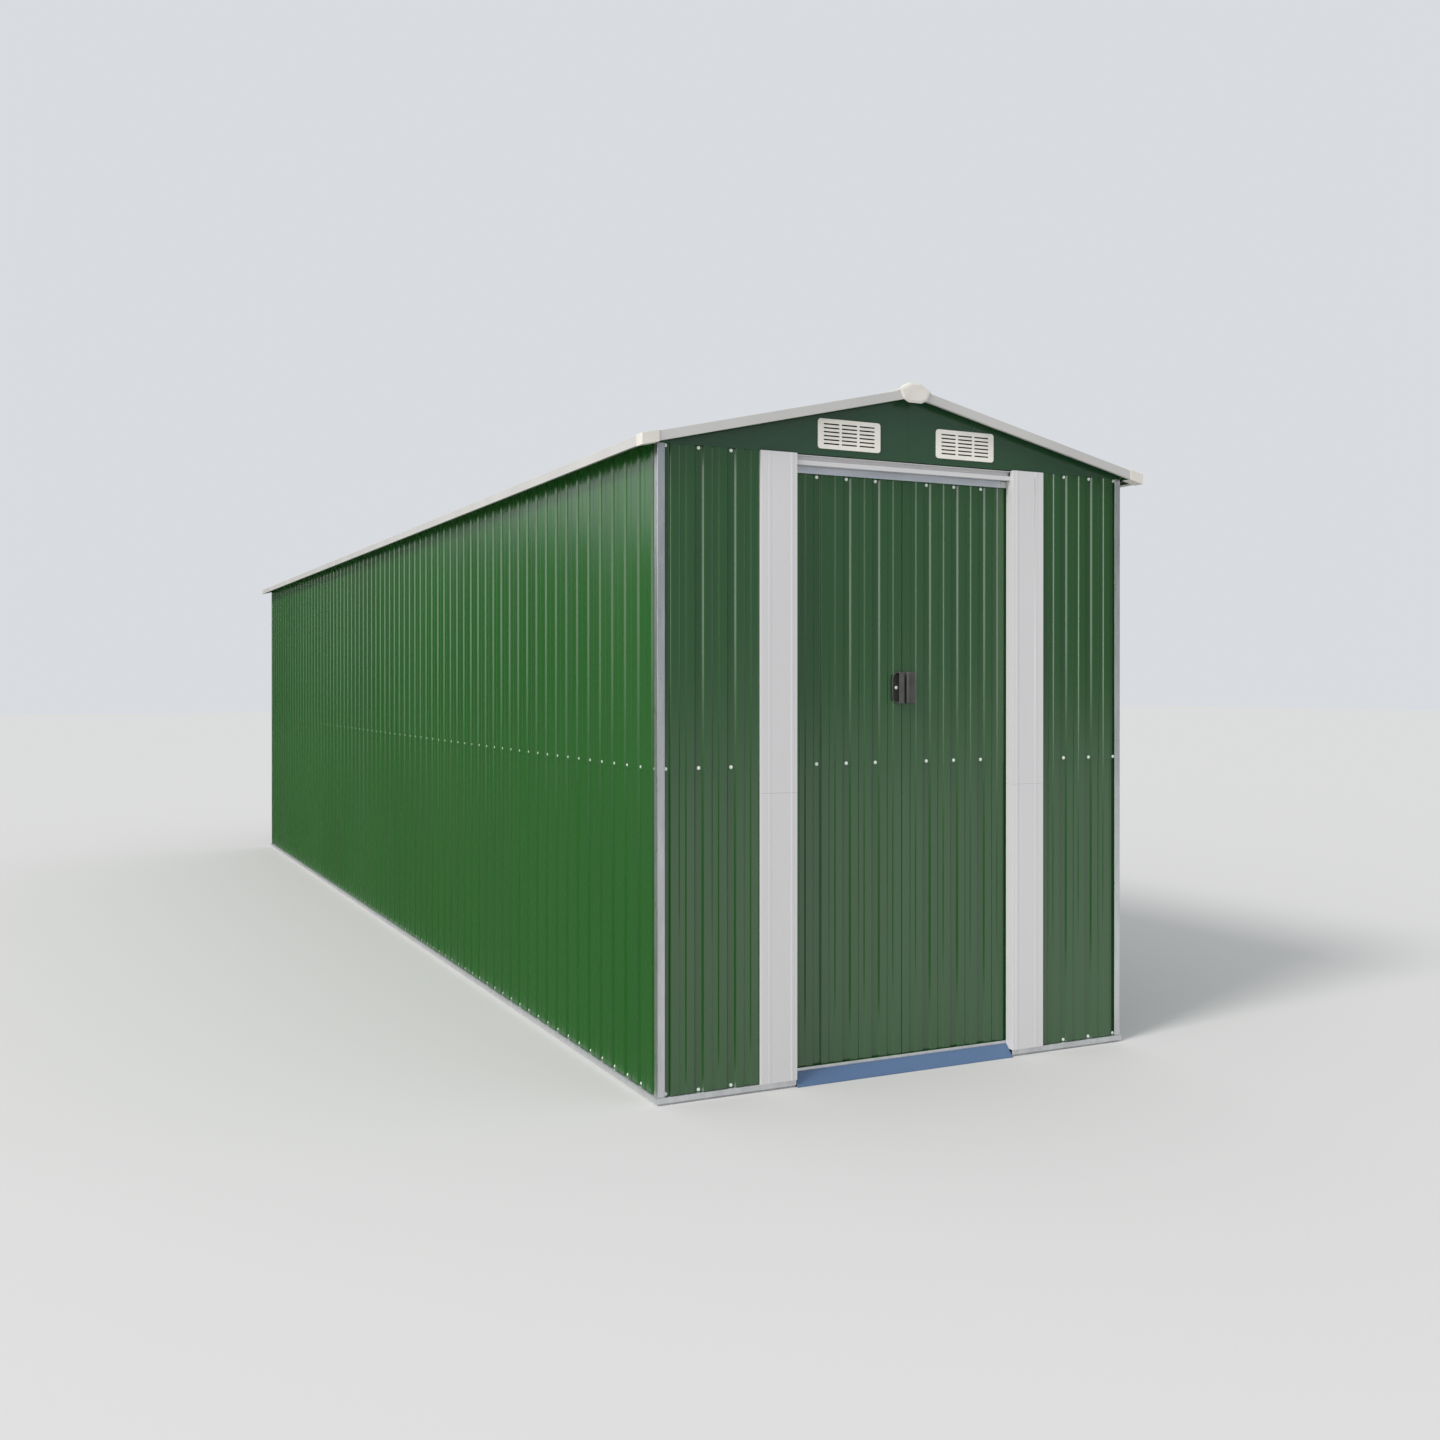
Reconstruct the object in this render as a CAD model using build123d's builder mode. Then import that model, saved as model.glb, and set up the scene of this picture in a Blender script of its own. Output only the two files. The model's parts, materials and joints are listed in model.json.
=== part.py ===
from build123d import *
import math
import os

os.makedirs("parts", exist_ok=True)

# Sizes in millimetres. X runs left to right, the front is at -Y, and the ground is Z = 0.
wall_width = 1790.0
wall_length = 7648.0
wall_height = 1992.0
roof_pitch = 13.0
roof_rise = 27.4
eave_overhang = 62.5
gable_overhang = 36.0

# Sheet metal: coloured sheets, galvanised sections and the gap under a screwed joint
sheet = 1.0
steel = 1.5
seat = 0.2

# Ribbed sheets: one pressed groove every pitch, screwed through its floor
rib_pitch = 110.0
groove_width = 31.0
groove_floor = 22.0
groove_depth = 6.0
front_first_groove = 33.0
side_first_groove = 40.0
end_land = 3.0

# Courses of the walls; the gable sheets start at wall_height
lap_height = 1000.0
lap = 22.0
gable_lap = 11.0
sheet_bottom_gap = 1.0

# Base rails
base_height = 24.0
base_foot = 30.0
upstand = 26.0

# Corner posts
post_inset = 3.5
post_leg = 24.5

# Doorway, jambs, header and sill
doorway_width = 834.0
jamb_face = 129.0
jamb_proud = 6.0
jamb_reach = 32.5
jamb_joint = 927.0
header_height = 30.5
header_drop = 3.0
header_band = 13.0
header_step = 7.0
header_depth = 20.0
header_return = 3.0
sill_toe = 8.0
sill_drop = 11.0

# Sliding leaves and their tracks
leaf_depth = 40.0
leaf_overlap = 20.0
leaf_gap = 5.0
door_first_groove = 97.0
frame_bar = 25.0
frame_thickness = 8.0
track_inset = 9.0
track_half = 13.75
track_drop = 1.0
track_height = 32.0
track_skirt = 20.0
track_slot = 11.0
guide_floor = 28.0
guide_front_lip = 19.5
guide_rear_lip = 14.5
hanger_gap = 6.0
hanger_head = 6.0
glide_shoe = 6.0
glide_inset = 60.0
glide_length = 40.0
running_gap = 0.3

# Handles
handle_height = 104.0
handle_centre = 1255.0
handle_inset = 3.0
handle_left_width = 36.0
handle_right_width = 45.0
handle_proud = 20.0
handle_plate = 6.0
handle_radius = 21.0
handle_edge = 1.5
grip_width = 19.0
ridge_inset = 5.0
ridge_width = 11.0

# Inner rails
mid_rail_height = 40.0
mid_rail_depth = 15.0
top_rail_height = 32.0
top_rail_flange = 30.0
beam_width = 40.0
beam_height = 60.0

# Gable vents
vent_width = 232.0
vent_height = 96.0
vent_offset = 224.0
vent_rise = 69.0
vent_corner = 6.0
vent_plate = 4.0
vent_seat = 10.0
slot_length = 56.0
slot_height = 4.0
slot_columns = 3
slot_rows = 6
slot_column_pitch = 66.0
slot_row_pitch = 12.5

# Roof
roof_rib_pitch = 330.0
roof_rib_base = 44.0
roof_rib_crest = 24.0
roof_rib_height = 8.0
ridge_gap = 8.0
trim_height = 30.5
barge_flange = 22.0
barge_lip = 12.0
eave_lip = 16.0
ridge_cap_half = 62.0
ridge_cap_shoulder = 40.0
ridge_cap_flat = 18.0
ridge_cap_rise = 14.0

# Moulded caps at the ridge ends and the eave corners
cap_wall = 2.0
cap_cover = 20.0
knob_plate = 3.0
knob_facet = 3.5
knob_facet_angle = 65.0
knob_drop = 48.0
knob_bottom_half = 24.0
knob_cheek = 45.0
knob_cheek_rise = 10.0
knob_tip_rise = 4.0
corner_cap_front = 56.0
corner_cap_side = 42.0

# Depths behind the outer face of the base rail
gable_depth = post_inset + steel - sheet
upper_depth = post_inset + steel + seat
lower_depth = upper_depth + sheet + seat
upper_back = upper_depth + groove_depth + sheet
lower_back = lower_depth + groove_depth + sheet
upper_frame = upper_back + seat
lower_frame = lower_back + seat
header_web = header_depth + steel / 2 + seat + header_return
track_centre = leaf_depth + track_inset

# Heights that follow from the wall's height and the clearances
slope = math.tan(math.radians(roof_pitch))
upright = math.cos(math.radians(roof_pitch))
ridge_height = wall_height + roof_rise + slope * wall_width / 2
ridge_cap_top = ridge_height + ridge_cap_rise
sheet_top = wall_height + gable_lap
header_top = wall_height - header_drop
header_bottom = header_top - header_height
track_top = wall_height - track_drop - steel
track_lip = track_top - track_height - steel
track_bottom = track_lip - track_skirt
top_rail_bottom = wall_height - top_rail_height
guide_front = guide_floor + steel + guide_front_lip
guide_rear = guide_floor + steel + guide_rear_lip
leaf_bottom = guide_floor + steel + running_gap + glide_shoe + seat
leaf_top = track_lip - hanger_gap
leaf_width = doorway_width / 2 + leaf_overlap - leaf_gap / 2

wall_start = {
    "front": Vector(-wall_width / 2, -wall_length / 2, 0),
    "right": Vector(wall_width / 2, -wall_length / 2, 0),
    "rear": Vector(wall_width / 2, wall_length / 2, 0),
    "left": Vector(-wall_width / 2, wall_length / 2, 0),
}
wall_along = {
    "front": Vector(1, 0, 0),
    "right": Vector(0, 1, 0),
    "rear": Vector(-1, 0, 0),
    "left": Vector(0, -1, 0),
}
wall_run = {"front": wall_width, "right": wall_length, "rear": wall_width, "left": wall_length}


def crest_height(x):
    """Height of the roof's crest plane at a distance x from the ridge."""
    return ridge_height - slope * abs(x)


def roof_under(x):
    """Height of the lowest face of the roof sheets at a distance x from the ridge."""
    return crest_height(x) - (roof_rib_height + sheet) / upright


def inward(side):
    """Direction from a wall's outer face to the inside."""
    return Vector(0, 0, 1).cross(wall_along[side])


def plan_plane(side, height):
    """Level plane at a wall's start corner: x along the wall, y inward."""
    return Plane(wall_start[side] + Vector(0, 0, height), x_dir=wall_along[side], z_dir=(0, 0, 1))


def cross_plane(side, station):
    """Upright plane across a wall: x inward, y up, facing along the wall."""
    origin = wall_start[side] + wall_along[side] * station
    return Plane(origin, x_dir=inward(side), z_dir=wall_along[side])


def face_plane(side, depth):
    """Upright plane in a wall, seen from outside: x along the wall, y up."""
    origin = wall_start[side] + inward(side) * depth
    return Plane(origin, x_dir=wall_along[side], z_dir=inward(side) * -1)


def slope_plane(sign, y, rise=0.0):
    """Plane across one roof slope at the ridge: x along the ridge, y square to the slope."""
    down = Vector(sign * upright, 0, -math.sin(math.radians(roof_pitch)))
    up = Vector(sign * math.sin(math.radians(roof_pitch)), 0, upright)
    return Plane(Vector(0, y, ridge_height) + up * rise, x_dir=(0, sign, 0), z_dir=down)


def finish(part, name):
    """Label one finished piece and write it out."""
    part.label = name
    export_step(part, "parts/" + name + ".step")


def groove_centres(start, end, first, pitch=rib_pitch, width=groove_width):
    """Centres of the whole grooves that fit on a sheet from start to end."""
    low = math.ceil((start + end_land + width / 2 - first) / pitch)
    high = math.floor((end - end_land - width / 2 - first) / pitch)
    return [first + n * pitch for n in range(low, high + 1)]


def ribbed_line(start, end, centres, depth, width, floor, drop):
    """Corners of a ribbed sheet's outer face: a crest plane at depth, grooves going in by drop."""
    points = [(start, depth)]
    for centre in centres:
        points.append((centre - width / 2, depth))
        points.append((centre - floor / 2, depth + drop))
        points.append((centre + floor / 2, depth + drop))
        points.append((centre + width / 2, depth))
    points.append((end, depth))
    return points


def thick_outline(points, thickness):
    """Closed corner list of a sheet: its outer face, and the same face moved in."""
    inner = [(along, depth + thickness) for along, depth in reversed(points)]
    return points + inner


def ribbed_sheet(side, start, end, first, depth, bottom, top):
    """One course of ribbed wall sheet."""
    centres = groove_centres(start, end, first)
    line = ribbed_line(start, end, centres, depth, groove_width, groove_floor, groove_depth)
    with BuildPart() as course:
        with BuildSketch(plan_plane(side, bottom)):
            with BuildLine():
                Polyline(*thick_outline(line, sheet), close=True)
            make_face()
        extrude(amount=top - bottom)
    return course.part


def folded_bar(plane, points, length, thickness=steel):
    """A section folded from sheet, traced along the middle of its thickness."""
    with BuildPart() as bar:
        with BuildSketch(plane):
            with BuildLine():
                Polyline(*points)
            trace(line_width=thickness)
        extrude(amount=length)
    return bar.part


def joined(*shapes):
    """Several solids as one piece."""
    with BuildPart() as piece:
        for shape in shapes:
            add(shape)
    return piece.part


# Base rails: a foot, an outer face, a ledge under the sheets and an upstand behind them
half = steel / 2
base_section = [
    (base_foot, half),
    (half, half),
    (half, base_height - half),
    (lower_frame + half, base_height - half),
    (lower_frame + half, base_height + upstand),
]
doorway_start = (wall_width - doorway_width) / 2
doorway_end = (wall_width + doorway_width) / 2
rail_end = doorway_start - steel - seat


def mitred_rail(side, start, end, mitre_start, mitre_end):
    """A base rail, cut at 45 degrees where it meets the next one round a corner."""
    along = wall_along[side]
    bar = folded_bar(cross_plane(side, start), base_section, end - start)
    with BuildPart() as rail:
        add(bar)
        if mitre_start:
            corner = wall_start[side] + (along - inward(side)) * (seat / 2)
            split(bisect_by=Plane(corner, z_dir=along - inward(side)), keep=Keep.TOP)
        if mitre_end:
            corner = wall_start[side] + along * (wall_run[side] - seat / 2) - inward(side) * (seat / 2)
            split(bisect_by=Plane(corner, z_dir=along + inward(side)), keep=Keep.BOTTOM)
    return rail.part


front_base_rails = joined(
    mitred_rail("front", 0, rail_end, True, False),
    mitred_rail("front", wall_width - rail_end, wall_width, False, True),
)
finish(front_base_rails, "front_base_rails")
finish(mitred_rail("left", 0, wall_length, True, True), "left_base_rail")
finish(mitred_rail("right", 0, wall_length, True, True), "right_base_rail")
finish(mitred_rail("rear", 0, wall_width, True, True), "rear_base_rail")


# Corner posts: angles that cover the ends of the sheets
def corner_post(side):
    """An angle at the start corner of a wall."""
    leg_end = post_inset + post_leg
    middle = post_inset + half
    with BuildPart() as post:
        with BuildSketch(plan_plane(side, base_height)):
            with BuildLine():
                Polyline((leg_end, middle), (middle, middle), (middle, leg_end))
            trace(line_width=steel)
        extrude(amount=wall_height - seat - base_height)
    return post.part


finish(joined(*[corner_post(side) for side in wall_start]), "corner_posts")

# Wall sheets, two courses high, the upper one lapped over the lower one
sheet_bottom = base_height + sheet_bottom_gap
end_start = upper_depth + sheet + seat + 1.0
side_start = lower_back + 1.0
wing_end = doorway_start - 12.0


def two_courses(side, start, end, first, name):
    """Lower and upper course of a wall, written as two pieces."""
    low = ribbed_sheet(side, start, end, first, lower_depth, sheet_bottom, lap_height + lap)
    high = ribbed_sheet(side, start, end, first, upper_depth, lap_height, sheet_top)
    finish(low, name + "_lower")
    finish(high, name + "_upper")


two_courses("front", end_start, wing_end, front_first_groove, "front_wing_left")
two_courses(
    "front",
    wall_width - wing_end,
    wall_width - end_start,
    wall_width - front_first_groove,
    "front_wing_right",
)
two_courses("left", side_start, wall_length - side_start, wall_length - side_first_groove, "left_wall")
two_courses("right", side_start, wall_length - side_start, side_first_groove, "right_wall")
two_courses("rear", end_start, wall_width - end_start, front_first_groove, "rear_wall")


# Gables: two flat sheets a side, meeting at a seam under the ridge
def gable_half(side, sign):
    """One half of a gable, cut out behind its vent."""
    middle = wall_width / 2
    outer = middle - post_inset
    window = (vent_width - 2 * vent_seat, vent_height - 2 * vent_seat)
    with BuildPart() as half_gable:
        with BuildSketch(face_plane(side, gable_depth)):
            with BuildLine():
                Polyline(
                    (middle + sign * seat, wall_height),
                    (middle + sign * outer, wall_height),
                    (middle + sign * outer, roof_under(outer) - seat),
                    (middle + sign * seat, roof_under(0) - seat),
                    close=True,
                )
            make_face()
            with Locations((middle + sign * vent_offset, wall_height + vent_rise)):
                Rectangle(*window, mode=Mode.SUBTRACT)
        extrude(amount=-sheet)
    return half_gable.part


finish(gable_half("front", -1), "front_gable_left")
finish(gable_half("front", 1), "front_gable_right")
finish(gable_half("rear", 1), "rear_gable_left")
finish(gable_half("rear", -1), "rear_gable_right")


# Vents: a plate over the gable's cut-out, with cut corners and rows of slots
def gable_vent(side, sign):
    """One louvred vent."""
    centre = (wall_width / 2 + sign * vent_offset, wall_height + vent_rise)
    with BuildPart() as vent:
        with BuildSketch(face_plane(side, gable_depth)) as plate:
            with Locations(centre):
                Rectangle(vent_width, vent_height)
            chamfer(plate.vertices(), length=vent_corner)
            with Locations(centre):
                with GridLocations(slot_column_pitch, slot_row_pitch, slot_columns, slot_rows):
                    Rectangle(slot_length, slot_height, mode=Mode.SUBTRACT)
        extrude(amount=vent_plate)
    return vent.part


vents = [gable_vent(side, sign) for side in ("front", "rear") for sign in (-1, 1)]
finish(joined(*vents), "gable_vents")

# Door jambs: folded strips over the edges of the wings, returned back beside the leaves
jamb_line = [
    (doorway_start - jamb_face + half, upper_depth - seat),
    (doorway_start - jamb_face + half, half - jamb_proud),
    (doorway_start - half, half - jamb_proud),
    (doorway_start - half, jamb_reach),
]


def jamb_pair(bottom, top):
    """The left and right jamb between two heights, their returns cut away under the top rail."""
    plane = plan_plane("front", bottom)
    mirrored = [(wall_width - along, depth) for along, depth in jamb_line]
    left = folded_bar(plane, jamb_line, top - bottom)
    right = folded_bar(plane, mirrored, top - bottom)
    with BuildPart() as jambs:
        add(left)
        add(right)
        with BuildSketch(plan_plane("front", header_bottom - seat)):
            with Locations((wall_width / 2, upper_frame - seat)):
                Rectangle(doorway_width + 4 * steel, jamb_reach, align=(Align.CENTER, Align.MIN))
        extrude(amount=wall_height - header_bottom, mode=Mode.SUBTRACT)
    return jambs.part


finish(jamb_pair(base_height + seat, jamb_joint - seat / 2), "door_jambs_lower")
finish(jamb_pair(jamb_joint + seat / 2, wall_height - seat), "door_jambs_upper")

# Header over the doorway, and the sloped sill under it
inner_start = doorway_start + seat
inner_width = doorway_width - 2 * seat
header_line = [
    (gable_depth + sheet + seat + half, header_top),
    (header_depth - header_step, header_top - header_band),
    (header_depth, header_bottom + half),
    (header_web - seat, header_bottom + half),
]
finish(folded_bar(cross_plane("front", inner_start), header_line, inner_width), "door_header")
sill_crest = guide_front - sill_drop
sill_back = track_centre - track_half - 1.5 * steel - seat
sill_line = [
    (-sill_toe, half),
    (2.0 - sill_toe, half),
    (sill_back - 4.0, sill_crest),
    (sill_back, sill_crest),
    (sill_back, 0.0),
]
finish(folded_bar(cross_plane("front", inner_start), sill_line, inner_width), "door_sill")

# Tracks: a slotted channel that the leaves hang from, and a floor channel that guides them
track_start = lower_back + 2.5
track_run = wall_width - 2 * track_start
hang_front = track_centre - track_half - half
hang_rear = track_centre + track_half + half
top_track_line = [
    (track_centre - track_slot / 2, track_lip + half),
    (hang_front, track_lip + half),
    (hang_front, track_top - half),
    (hang_rear, track_top - half),
    (hang_rear, track_lip + half),
    (track_centre + track_slot / 2, track_lip + half),
]
track_channel = folded_bar(cross_plane("front", track_start), top_track_line, track_run)
with BuildPart() as top_track:
    add(track_channel)
    with BuildSketch(cross_plane("front", track_start)):
        with Locations((hang_front, (track_bottom + track_lip + steel) / 2)):
            Rectangle(steel, track_lip + steel - track_bottom)
    extrude(amount=track_run)
finish(top_track.part, "top_track")

guide_start = base_foot + seat
with BuildPart() as bottom_track:
    with BuildSketch(cross_plane("front", guide_start)):
        with Locations((hang_front, guide_front / 2)):
            Rectangle(steel, guide_front)
        with Locations((hang_rear, guide_rear / 2)):
            Rectangle(steel, guide_rear)
        with Locations((track_centre, guide_floor + half)):
            Rectangle(2 * track_half + steel, steel)
    extrude(amount=wall_width - 2 * guide_start)
finish(bottom_track.part, "bottom_track")


# Inner rails: channels behind the lap, and angles and a tee at the top of the walls
def mid_rail(side, start, end):
    """A channel behind the lap of two courses."""
    low = lap_height + lap / 2 - mid_rail_height / 2
    high = low + mid_rail_height
    back = lower_frame + mid_rail_depth
    face = lower_frame + half
    line = [(back, low + half), (face, low + half), (face, high - half), (back, high - half)]
    return folded_bar(cross_plane(side, start), line, end - start)


rail_corner = lower_frame + mid_rail_depth + 2.0
wing_rail_end = wing_end - 4.0
mid_rails = joined(
    mid_rail("left", rail_corner, wall_length - rail_corner),
    mid_rail("right", rail_corner, wall_length - rail_corner),
    mid_rail("rear", side_start + 4.0, wall_width - side_start - 4.0),
    mid_rail("front", side_start + 4.0, wing_rail_end),
    mid_rail("front", wall_width - wing_rail_end, wall_width - side_start - 4.0),
)
finish(mid_rails, "mid_rails")


def eave_rail(side):
    """An angle along the top of a side wall, under the roof."""
    top = roof_under(wall_width / 2 - upper_frame) - seat
    face = upper_frame + half
    line = [(face, top_rail_bottom), (face, top - half), (face + top_rail_flange, top - half)]
    return folded_bar(cross_plane(side, side_start), line, wall_length - 2 * side_start)


def gable_rail(side, reach):
    """A tee across a gable wall: a level plate to the sheets and a web under it."""
    low = header_bottom
    start = upper_back + 2.5
    with BuildPart() as tee:
        with BuildSketch(cross_plane(side, start)):
            with Locations(((upper_frame + reach) / 2, track_top + half)):
                Rectangle(reach - upper_frame, steel)
            with Locations((header_web + half, (low + track_top) / 2)):
                Rectangle(steel, track_top - low)
        extrude(amount=wall_width - 2 * start)
    return tee.part


top_rails = joined(
    eave_rail("left"),
    eave_rail("right"),
    gable_rail("front", hang_rear + half),
    gable_rail("rear", header_web + top_rail_flange),
)
finish(top_rails, "top_rails")


# Roof beams: an upturned channel under the ridge and one half way down each slope
def roof_beam(x):
    """A channel from gable to gable, its top at the roof sheets."""
    top = roof_under(abs(x) + beam_width / 2) - seat
    edge = beam_width / 2 - half
    line = [
        (x - edge, top - beam_height),
        (x - edge, top - half),
        (x + edge, top - half),
        (x + edge, top - beam_height),
    ]
    start = gable_depth + sheet + seat
    plane = Plane((0, wall_length / 2 - start, 0), x_dir=(1, 0, 0), z_dir=(0, -1, 0))
    return folded_bar(plane, line, wall_length - 2 * start)


roof_beams = joined(roof_beam(0), roof_beam(-wall_width / 4), roof_beam(wall_width / 4))
finish(roof_beams, "roof_beams")

# Roof sheets: raised ribs run down each slope
barge_front = -wall_length / 2 - gable_overhang
roof_run = wall_length + 2 * gable_overhang - 2 * steel - 2 * seat
eave_face = wall_width / 2 + eave_overhang


def roof_sheet(sign):
    """The sheets of one slope, ribbed down the slope."""
    first = roof_run / 2
    start = 0.0
    centres = groove_centres(start, roof_run, first, roof_rib_pitch, roof_rib_base)
    line = ribbed_line(
        start, roof_run, centres, -roof_rib_height, roof_rib_base, roof_rib_crest, roof_rib_height
    )
    length = (eave_face - steel - seat) / upright - ridge_gap
    plane = slope_plane(sign, -sign * roof_run / 2).offset(ridge_gap)
    with BuildPart() as slope_sheet:
        with BuildSketch(plane):
            with BuildLine():
                Polyline(*thick_outline(line, -sheet), close=True)
            make_face()
        extrude(amount=length)
    return slope_sheet.part


finish(roof_sheet(-1), "roof_left")
finish(roof_sheet(1), "roof_right")


# Barge trims: channels over the gable edges of the roof, plumb cut at the ridge and the eaves
def barge(sign, end):
    """One barge trim; end is -1 at the front and 1 at the rear."""
    top = seat + half
    low = top + half - trim_height * upright + half
    outer = half
    line = [(barge_lip, low), (outer, low), (outer, top), (barge_flange, top)]
    face = end * (wall_length / 2 + gable_overhang)
    inwards = -end * sign
    points = [(inwards * along, rise) for along, rise in line]
    with BuildPart() as trim:
        with BuildSketch(slope_plane(sign, face).offset(-40)):
            with BuildLine():
                Polyline(*points)
            trace(line_width=steel)
        extrude(amount=eave_face / upright + 80)
        split(bisect_by=Plane((sign * seat, 0, 0), z_dir=(sign, 0, 0)), keep=Keep.TOP)
        split(bisect_by=Plane((sign * eave_face, 0, 0), z_dir=(sign, 0, 0)), keep=Keep.BOTTOM)
    return trim.part


finish(joined(barge(-1, -1), barge(1, -1)), "front_barge_trims")
finish(joined(barge(-1, 1), barge(1, 1)), "rear_barge_trims")


# Eave trims: a face board folded over the ends of the roof sheets
def eave_trim(side):
    """The trim along one eave, between the barge trims."""
    face = half - eave_overhang
    top = crest_height(eave_face - half) + (seat + half) / upright
    low = crest_height(eave_face) + (seat + steel) / upright - trim_height + half
    line = [
        (face + eave_lip, low + slope * eave_lip),
        (face, low),
        (face, top),
        (face + barge_flange, top + slope * barge_flange),
    ]
    start = barge_flange + 2 * seat - gable_overhang
    return folded_bar(cross_plane(side, start), line, wall_length - 2 * start)


finish(eave_trim("left"), "left_eave_trim")
finish(eave_trim("right"), "right_eave_trim")


# Ridge cap: a raised hat along the ridge between the barge trims
def ridge_line(spread):
    """Corners of the ridge cap's section, moved out and up by spread."""
    foot = crest_height(ridge_cap_half) + (seat + half) / upright + spread
    shoulder = crest_height(ridge_cap_shoulder) + (seat + half) / upright + spread
    right = [
        (ridge_cap_flat + spread, ridge_cap_top + spread),
        (ridge_cap_shoulder + spread, shoulder),
        (ridge_cap_half + spread, foot),
    ]
    return [(-x, z) for x, z in reversed(right)] + right


ridge_start = barge_flange + 2 * seat - gable_overhang
ridge_plane = Plane((0, wall_length / 2 - ridge_start, 0), x_dir=(1, 0, 0), z_dir=(0, -1, 0))
finish(folded_bar(ridge_plane, ridge_line(0.0), wall_length - 2 * ridge_start), "ridge_cap")


# Ridge end caps: a hood over the end of the ridge cap and a faceted plate over the barges' joint
def ridge_end_cap(end):
    """One moulded cap; end is -1 at the front and 1 at the rear."""
    spread = half + seat + cap_wall / 2
    face = end * (wall_length / 2 + gable_overhang + seat)
    back = Plane((0, face, 0), x_dir=(end, 0, 0), z_dir=(0, -end, 0))
    front = Plane((0, face, 0), x_dir=(-end, 0, 0), z_dir=(0, end, 0))
    hood = folded_bar(back, ridge_line(spread), barge_flange + cap_cover, cap_wall)
    top = ridge_cap_top + spread + cap_wall / 2
    shoulder = crest_height(ridge_cap_half) + (seat + half) / upright + spread + cap_wall / 2
    tip = (ridge_cap_half - 2.0, shoulder + knob_tip_rise)
    bottom = ridge_height - knob_drop
    outline = [
        (ridge_cap_flat, top),
        tip,
        (knob_cheek, bottom + knob_cheek_rise),
        (knob_bottom_half, bottom),
        (-knob_bottom_half, bottom),
        (-knob_cheek, bottom + knob_cheek_rise),
        (-tip[0], tip[1]),
        (-ridge_cap_flat, top),
    ]
    with BuildPart() as cap:
        add(hood)
        with BuildSketch(front) as knob:
            with BuildLine():
                Polyline(*outline, close=True)
            make_face()
        extrude(amount=knob_plate)
        with BuildSketch(front.offset(knob_plate)):
            add(knob.sketch_local)
        extrude(amount=knob_facet, taper=knob_facet_angle)
    return cap.part


finish(joined(ridge_end_cap(-1), ridge_end_cap(1)), "ridge_end_caps")


# Eave corner caps: shoes over the ends of a barge trim and an eave trim
def corner_cap(sign, end):
    """One moulded shoe, open to the ridge side and to the inside of the building."""
    outer_x = eave_face + seat + cap_wall
    inner_x = eave_face - corner_cap_front
    rise = (seat + steel) / upright + seat + cap_wall
    drop = rise - trim_height - 2 * seat - 2 * cap_wall

    def shoe(near, far, high, low):
        return [
            (sign * near, crest_height(near) + high),
            (sign * far, crest_height(far) + high),
            (sign * far, crest_height(far) + low),
            (sign * near, crest_height(near) + low),
        ]

    face = end * (wall_length / 2 + gable_overhang + seat + cap_wall)
    plane = Plane((0, face, 0), x_dir=(1, 0, 0), z_dir=(0, -1, 0))
    with BuildPart() as cap:
        with BuildSketch(plane):
            with BuildLine():
                Polyline(*shoe(inner_x, outer_x, rise, drop), close=True)
            make_face()
        extrude(amount=end * corner_cap_side)
        upright_edges = cap.edges().filter_by(Axis.Z).sort_by(SortBy.DISTANCE)
        chamfer(upright_edges[-1], length=cap_wall)
        hollow = Plane((0, face - end * cap_wall, 0), x_dir=(1, 0, 0), z_dir=(0, -1, 0))
        with BuildSketch(hollow):
            with BuildLine():
                inside = shoe(inner_x - 1, outer_x - cap_wall, rise - cap_wall, drop + cap_wall)
                Polyline(*inside, close=True)
            make_face()
        extrude(amount=end * corner_cap_side, mode=Mode.SUBTRACT)
    return cap.part


caps = [corner_cap(sign, end) for sign in (-1, 1) for end in (-1, 1)]
finish(joined(*caps), "eave_corner_caps")


# Sliding leaves: two courses of ribbed sheet on a channel frame, hung from the top track
def leaf_span(sign):
    """Start and end of a leaf along the front wall."""
    middle = wall_width / 2
    near = middle + sign * leaf_gap / 2
    far = middle + sign * (leaf_gap / 2 + leaf_width)
    return min(near, far), max(near, far)


def door_leaf(sign):
    """Both courses of sheet of one leaf."""
    start, end = leaf_span(sign)
    first = wall_width / 2 + sign * (leaf_gap / 2 + door_first_groove)
    back = leaf_depth + sheet + seat
    low = ribbed_sheet("front", start, end, first, back, leaf_bottom, lap_height + lap)
    high = ribbed_sheet("front", start, end, first, leaf_depth, lap_height, leaf_top)
    return joined(low, high)


frame_face = leaf_depth + 2 * sheet + 2 * seat + groove_depth


def leaf_frame(sign):
    """The ring of channel behind a leaf, with a bar behind the lap."""
    start, end = leaf_span(sign)
    middle = (start + end) / 2
    height = leaf_top - leaf_bottom
    centre = (leaf_top + leaf_bottom) / 2
    opening = (leaf_width - 2 * frame_bar, height - 2 * frame_bar)
    bar_height = lap_height + lap / 2
    wall = steel
    with BuildPart() as frame:
        with BuildSketch(face_plane("front", frame_face)):
            with Locations((middle, centre)):
                Rectangle(leaf_width, height)
                Rectangle(*opening, mode=Mode.SUBTRACT)
            with Locations((middle, bar_height)):
                Rectangle(leaf_width - 2 * frame_bar, frame_bar)
        extrude(amount=-frame_thickness)
        with BuildSketch(face_plane("front", frame_face + wall)):
            with Locations((middle, centre)):
                Rectangle(leaf_width - 2 * wall, height - 2 * wall)
                Rectangle(opening[0] + 2 * wall, opening[1] + 2 * wall, mode=Mode.SUBTRACT)
        extrude(amount=-frame_thickness, mode=Mode.SUBTRACT)
    return frame.part


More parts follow.
